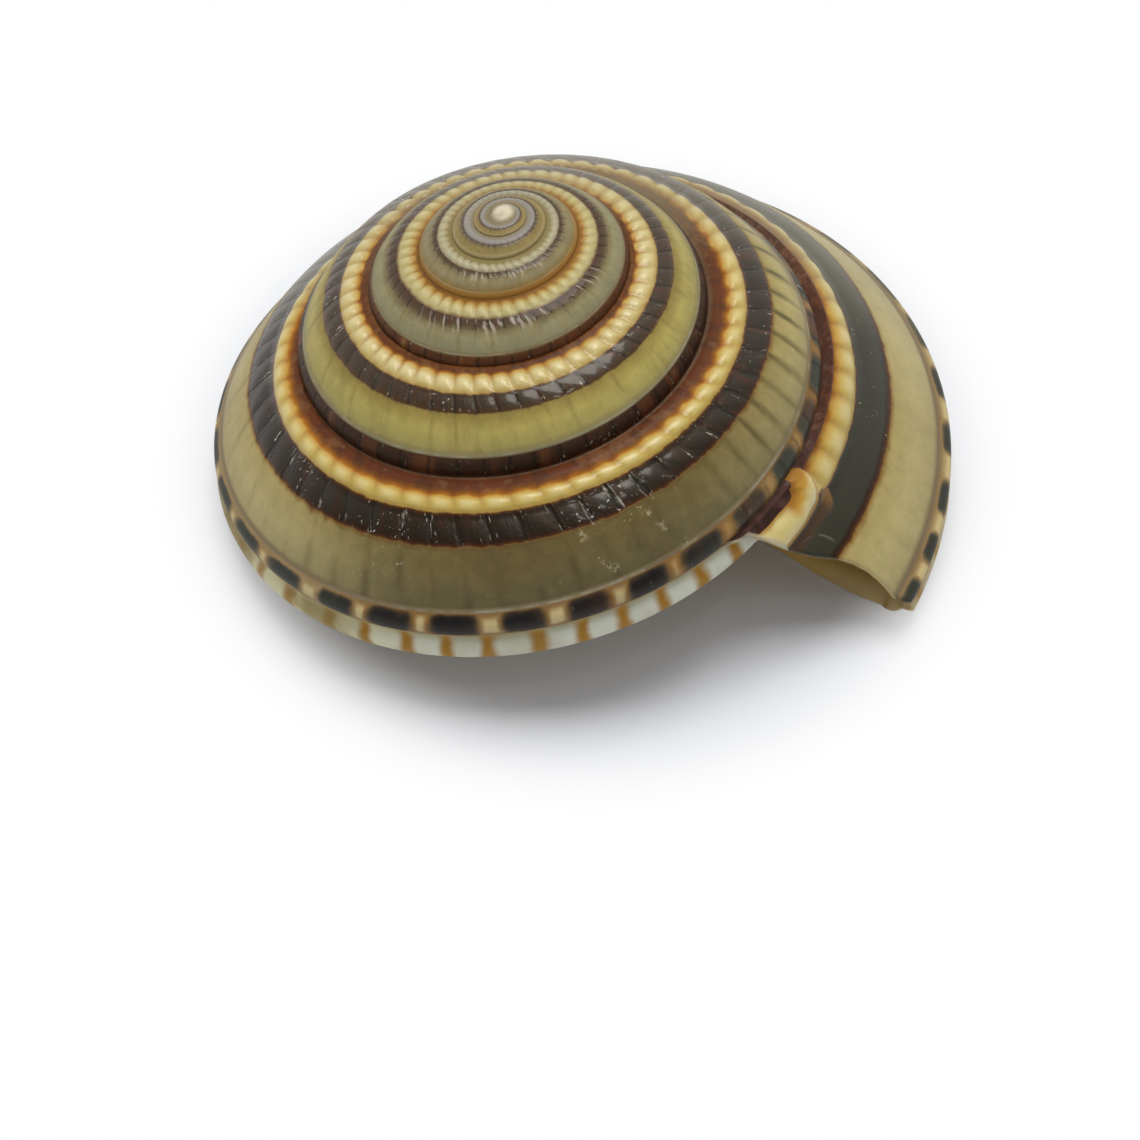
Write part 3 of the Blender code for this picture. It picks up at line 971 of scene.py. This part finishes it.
def lay_break(coat, at):
    """Mottling before the healed break with painted pinkish glints, and the browns just past its
    edge.
    """
    bruised = at.across.until(0.75, 1.25) * at.age.step(1.4, 1.56)
    cloudy = (at.coarse + at.fine).step(0.85, 1.15)
    blotch = coat.mix(at.age.step(1.79, 1.83), coat.mix(cloudy, rgb(70, 34, 20), rgb(102, 56, 32)),
                      coat.mix(cloudy, rgb(60, 33, 28), rgb(88, 58, 52)))
    fringe = at.across.step(0.55, 0.75) * at.age.until(1.8, 1.825)
    coat.lay(bruised * (0.85 - fringe * 0.8), blotch)
    # Painted highlights: pinkish grey glint specks on the mottled patch
    coat.lay(bruised * at.grit.step(0.52, 0.62) * at.fine.step(0.38, 0.55) * 0.3,
             rgb(134, 116, 108))
    coat.lay(at.age.step(1.846, 1.85) * at.across.until(1.6, 1.8), blotch)
    tip_edge = BREAK_AGE + (at.across - 1.98).size() * 0.02
    beyond = (at.age - tip_edge).step(-0.0012, 0.0012) * at.across.step(1.64, 1.72)
    beyond = beyond * at.across.until(2.16, 2.3)
    browns = coat.mix((at.age + at.jitter * 0.01).step(1.831, 1.841), rgb(142, 104, 58),
                      rgb(74, 61, 48))
    coat.lay(beyond, browns)


def lay_new_cord(coat, at):
    """The new cord: a cream rounded end, amber on its inner side."""
    beside = at.across.low(1.0) * NARROW + (at.across - 1.0).top(0.0) * BROAD
    further = at.age.step(KNOB_AGE, KNOB_AGE + CORD_SETTLES)
    over = (beside - KNOB_MIDDLE - further * CORD_SHIFT) / (KNOB_HALF - further * CORD_THINNING)
    before = (at.age - KNOB_AGE).low(0.0) / KNOB_LENGTH
    full = 1.0 - over * over - before * before
    cream = coat.mix(at.fine, rgb(212, 190, 116), rgb(232, 218, 156))
    whitish = over.step(0.1, 0.7) * (1.0 - at.age.step(1.842, 1.852) * 0.6)
    cream = coat.mix(whitish, cream, rgb(222, 212, 178))
    cream = coat.mix((over + at.jitter * 0.3).step(-1.0, -0.7), rgb(174, 128, 50), cream)
    cream = coat.mix((full - (over + 0.3).top(0.0) * 0.5).step(-0.1, 0.3), rgb(188, 148, 84), cream)
    coat.lay(full.step(0.0, 0.06), cream)
    amber = (at.across - 1.12 - (at.age - 1.838) * 24.0 + at.jitter * 0.2).until(-0.16, 0.14)
    amber_end = at.age + (at.across - 1.24) * 0.012 + at.drift * 0.006
    amber = amber * amber_end.until(1.857, 1.864)
    amber = amber * full.step(0.0, 0.25).top(full.step(0.0, 0.04) * over.until(-0.75, -0.5))
    amber_color = coat.mix((over + at.jitter * 0.4).step(-0.9, -0.2), rgb(166, 114, 44),
                           rgb(206, 157, 64))
    coat.lay(amber, amber_color)


def lay_scar(coat, at):
    """Dark line beside the new cord, and the arc-shaped scar."""
    inner_dark = at.age.step(1.83, 1.84) * at.across.band(2.0, 2.2, 0.12)
    coat.lay(inner_dark * 0.4, rgb(96, 66, 44))
    scar = (at.age - SCAR_AGE - 0.0021 / (at.across - 2.0).top(0.05)).size()
    scar = scar.until(0.0002, 0.0009) * at.across.band(2.1, 2.7, 0.1)
    coat.lay(scar * at.fine.step(0.35, 0.5) * 0.4, rgb(134, 130, 120))


def lay_pale_ends(coat, at):
    """Pale edge of the lip, broader beside the suture, and pale first turn."""
    width = 0.0007 + at.across.until(1.5, 2.1) * 0.0028
    edge = (at.behind / width + at.jitter * 0.8).until(0.6, 1.2)
    edge = edge * (0.85 - at.across.step(1.8, 2.2) * 0.6)
    coat.lay(edge * at.across.until(FOOT, SECOND_CORD), coat.colors.pale)
    tip = tip_of_solid() + Vector((0.0, 0.0, -0.1)) * MM
    off = coat.node("ShaderNodeVectorMath", {"operation": "DISTANCE"},
                    {0: at.place, 1: tip}, "Value") / MM
    coat.lay((off + at.jitter * 0.3).until(0.3, 0.62), rgb(226, 214, 188))


def lay_wear(coat, at):
    """Mottling, pale scratches and dust; gives the dust."""
    coat.lay(0.3, coat.mix(at.coarse, rgb(150, 148, 140), rgb(206, 204, 200)), "SOFT_LIGHT")
    worn = at.across.band(2.0, 3.9, 0.2) * at.age.step(0.5, 0.9)
    worn = worn + at.age.band(0.91, 0.95, 0.03) * at.across.band(2.9, 3.5, 0.2)
    speck = (at.grit + worn * 0.01).step(0.66, 0.71) * at.coarse.step(0.5, 0.64)
    speck = (speck * (worn * 0.8 + 0.2)).low(1.0)
    trail = at.age + (at.across - 3.5) * 0.022 + at.drift * 0.012
    trail = trail.band(0.961, 0.965, 0.0015) + trail.band(0.925, 0.928, 0.0015)
    trail = trail * at.across.band(3.02, 3.95, 0.05) * at.grit.step(0.5, 0.58)
    speck = speck.top(trail * at.fine.step(0.42, 0.56))
    coat.lay(speck * 0.7, coat.colors.pale)
    return speck


def shell_finish(colors):
    """Bands, beads, dashes and growth lines of the outer shell."""
    coat = Coating("shell_outside", colors)
    at = OnCoil(coat)
    for lay_part in (lay_bands, lay_suture, lay_beads, lay_dark_band, lay_tan_band, lay_rim_cord,
                     lay_keel, lay_back_shade, lay_base, lay_break, lay_new_cord, lay_scar,
                     lay_pale_ends):
        lay_part(coat, at)
    dust = lay_wear(coat, at)

    glossy = at.across.band(1.1, 2.95, 0.08)
    polish = 0.4 + at.age.step(-0.9, -0.3) * 0.6
    blocky = at.on_dark * at.broken
    height = (at.line * blocky + at.valley * at.on_cream) * -0.6
    height = height + at.streak * (0.5 - at.on_dark * at.smooth * 0.4)
    height = height + at.crack * (0.1 + blocky * 0.3) + at.grit * (0.1 + blocky * 0.25)
    height = height + at.blocks * at.line * -0.6
    coat.shade({
        "Base Color": coat.color,
        "Roughness": 0.52 - glossy * polish * 0.18 + at.fine * 0.14 + dust * 0.2,
        "Normal": coat.bump(height, 0.7, 0.06 * MM),
        "Coat Weight": glossy * (polish * 0.4 - at.smooth * 0.2) + 0.06,
        "Coat Roughness": 0.12,
        "IOR": 1.32,
        "Specular Tint": (1.0, 0.97, 0.82, 1.0),
    })
    return coat.owner


def mouth_finish(colors):
    """Warm, smooth inside of the mouth with faint growth lines."""
    coat = Coating("shell_mouth", colors)
    age, across = coat.uv("coil")
    grain = coat.node("ShaderNodeCombineXYZ", None, {0: age * 90.0, 1: across * 0.6, 2: 0.0})
    streak = coat.noise(grain, 1.0, 3.0, 0.6)
    cloud = coat.noise(coat.node("ShaderNodeTexCoord", output="Object"), CLOUDS, 3.0)
    deep = (1.84 - age).step(0.0, 0.22)
    coat.color = coat.mix(deep, colors.mouth, colors.mouth_deep)
    coat.lay(streak.step(0.5, 0.7) * 0.3, rgb(128, 92, 48))
    coat.lay(cloud.step(0.5, 0.75) * 0.3, rgb(206, 182, 128))
    coat.lay(across.until(1.6, 2.2) * age.step(1.815, 1.828), colors.pale)
    corner = across.band(3.6, 9.0, 0.5) * age.step(1.8, 1.825)
    coat.lay(corner * 0.8, rgb(196, 170, 118))
    coat.shade({
        "Base Color": coat.color,
        "Roughness": 0.22 + cloud * 0.16,
        "Normal": coat.bump(streak, 0.35, 0.05 * MM),
        "IOR": 1.56,
    })
    return coat.owner


def ray(paint, *kinds):
    """1 for rays of any of these kinds."""
    rays = paint.node("ShaderNodeLightPath").socket.node.outputs
    found = Wire(paint, rays[kinds[0]])
    for kind in kinds[1:]:
        found = found.top(Wire(paint, rays[kind]))
    return found


def table_finish(settings):
    """White table that keeps the shadow beside the shell."""
    paint = Paint(bpy.data.materials.new("table"))
    paint.tree.nodes.remove(paint.shader)
    place = paint.node("ShaderNodeTexCoord", output="Object")
    far = paint.node("ShaderNodeVectorMath", {"operation": "LENGTH"}, {0: place}, "Value") / MM
    clear = far.step(*SHADOW_REACH)
    # The cloth's bluish grey is painted shade that deepens and cools the shadow near the shell
    cloth = paint.node("ShaderNodeBsdfDiffuse", None, {"Color": settings.table})
    glow = paint.node("ShaderNodeEmission", None, {"Color": WHITE, "Strength": 1.0})
    seen = ray(paint, "Is Camera Ray", "Is Glossy Ray", "Is Transmission Ray")
    mixed = paint.node("ShaderNodeMixShader", None, {0: seen * clear, 1: cloth, 2: glow})
    under = paint.node("ShaderNodeNewGeometry", output="Backfacing")
    hole = paint.node("ShaderNodeBsdfTransparent")
    mixed = paint.node("ShaderNodeMixShader", None,
                       {0: under * ray(paint, "Is Camera Ray"), 1: mixed, 2: hole})
    paint.tree.links.new(mixed.socket, paint.tree.nodes["Material Output"].inputs["Surface"])
    return paint.owner


def sky_finish(settings):
    """Soft white room; the shell's gloss sees it brighter behind than in front."""
    paint = Paint(bpy.data.worlds.new("sky"))
    paint.tree.nodes.remove(paint.tree.nodes["Background"])
    toward = paint.node("ShaderNodeTexCoord", output="Generated")
    behind = paint.node("ShaderNodeVectorMath", {"operation": "DOT_PRODUCT"},
                        {0: toward, 1: (0.0, 1.0, 0.0)}, "Value")

    def room(strength):
        return paint.node("ShaderNodeBackground", None, {"Color": WHITE, "Strength": strength})

    def either(share, one, other):
        return paint.node("ShaderNodeMixShader", None, {0: share, 1: one, 2: other})

    gloss = either(behind.step(-0.3, 0.6), room(settings.sky_front), room(settings.sky_back))
    whole = either(ray(paint, "Is Glossy Ray"), room(settings.sky), gloss)
    whole = either(ray(paint, "Is Camera Ray", "Is Transmission Ray"), whole, room(1.0))
    paint.tree.links.new(whole.socket, paint.tree.nodes["World Output"].inputs["Surface"])
    return paint.owner


def add_lamp(scene, name, size, power, place):
    """Hang a square lamp that looks at the shell."""
    lamp = bpy.data.lights.new(name, "AREA")
    lamp.shape = "SQUARE"
    lamp.size = size
    lamp.energy = power
    lamp.color = (1.0, 0.99, 0.96)
    holder = bpy.data.objects.new(name, lamp)
    holder.location = place
    holder.rotation_mode = "QUATERNION"
    holder.rotation_quaternion = holder.location.to_track_quat("Z", "Y")
    scene.collection.objects.link(holder)


def show(scene, name, bm, *finishes):
    """Put a finished mesh into the scene as an object."""
    mesh = bpy.data.meshes.new(name)
    bm.to_mesh(mesh)
    bm.free()
    for finish in finishes:
        mesh.materials.append(finish)
    shown = bpy.data.objects.new(name, mesh)
    scene.collection.objects.link(shown)
    return shown


class SHELL_OT_grow(bpy.types.Operator):
    """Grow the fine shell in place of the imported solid"""

    bl_idname = "sundial.grow_shell"
    bl_label = "Grow shell"

    def execute(self, context):
        sizes = context.scene.sundial_sizes
        strips = [grow_strip(UPPER_ROWS, upper, sizes, turn * STEPS, (turn + 1) * STEPS)
                  for turn in range(TURNS)]
        strips.append(grow_strip(BASE_ROWS, skin, sizes, LIP_STEP - SEAM_STEPS, LIP_STEP))
        strips.append(grow_strip(FUNNEL_ROWS, funnel, sizes, FUNNEL_STEP, LIP_STEP))
        bm = gather(strips)
        bmesh.ops.remove_doubles(bm, verts=bm.verts, dist=0.00001 * MM)
        add_chamber(bm, sizes)
        if any(not edge.is_manifold for edge in bm.edges):
            raise RuntimeError("the whorls do not meet")
        lay_down(bm)
        bmesh.ops.recalc_face_normals(bm, faces=bm.faces)
        colors = context.scene.sundial_colors
        shell = show(context.scene, "fine_shell", bm, shell_finish(colors), mouth_finish(colors))
        shell.data.shade_smooth()
        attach(shell, "root")
        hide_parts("shell")
        return {"FINISHED"}


class SHELL_OT_stage(bpy.types.Operator):
    """Set up the table, the soft light and the camera"""

    bl_idname = "sundial.set_stage"
    bl_label = "Set stage"

    def execute(self, context):
        settings = context.scene.sundial_stage
        scene = context.scene
        bm = bmesh.new()
        bmesh.ops.create_grid(bm, x_segments=1, y_segments=1, size=TABLE_HALF)
        bmesh.ops.translate(bm, vec=(0.0, 0.0, CAD_BOX[0].z - TABLE_GAP), verts=bm.verts)
        table = show(scene, "table", bm, table_finish(settings))

        for name, size, power, place in LAMPS:
            add_lamp(scene, name, size, getattr(settings, power), place)
        scene.world = sky_finish(settings)
        scene.view_settings.view_transform = "Standard"

        eye = bpy.data.cameras.new("eye")
        eye.sensor_width, eye.lens = SENSOR, LENS
        eye.clip_start, eye.clip_end = 0.005, 10.0
        camera = bpy.data.objects.new("eye", eye)
        camera.location = tip_of_solid() + Vector(EYE_FROM_TIP) * MM
        camera.rotation_euler = (math.radians(EYE_TILT), 0.0, 0.0)
        scene.collection.objects.link(camera)
        scene.camera = camera
        return {"FINISHED"}


class SHELL_PT_sidebar(bpy.types.Panel):
    """Lists the shell's tools and settings"""

    bl_label = "Sundial Shell"
    bl_idname = "SHELL_PT_sidebar"
    bl_space_type = "VIEW_3D"
    bl_region_type = "UI"
    bl_category = "Shell"

    def draw(self, context):
        layout = self.layout
        for operator in (SHELL_OT_grow, SHELL_OT_stage):
            layout.operator(operator.bl_idname)
        for group in ("sundial_sizes", "sundial_colors", "sundial_stage"):
            settings = getattr(context.scene, group)
            for name in settings.__annotations__:
                layout.prop(settings, name)


CLASSES = (ShellSizes, ShellColors, StageSettings, SHELL_OT_grow, SHELL_OT_stage, SHELL_PT_sidebar)


def register():
    for item in CLASSES:
        bpy.utils.register_class(item)
    bpy.types.Scene.sundial_sizes = PointerProperty(type=ShellSizes)
    bpy.types.Scene.sundial_colors = PointerProperty(type=ShellColors)
    bpy.types.Scene.sundial_stage = PointerProperty(type=StageSettings)


def unregister():
    del bpy.types.Scene.sundial_stage
    del bpy.types.Scene.sundial_colors
    del bpy.types.Scene.sundial_sizes
    for item in reversed(CLASSES):
        bpy.utils.unregister_class(item)


def main():
    register()
    bpy.ops.sundial.grow_shell()
    bpy.ops.sundial.set_stage()


if __name__ == "__main__":
    main()
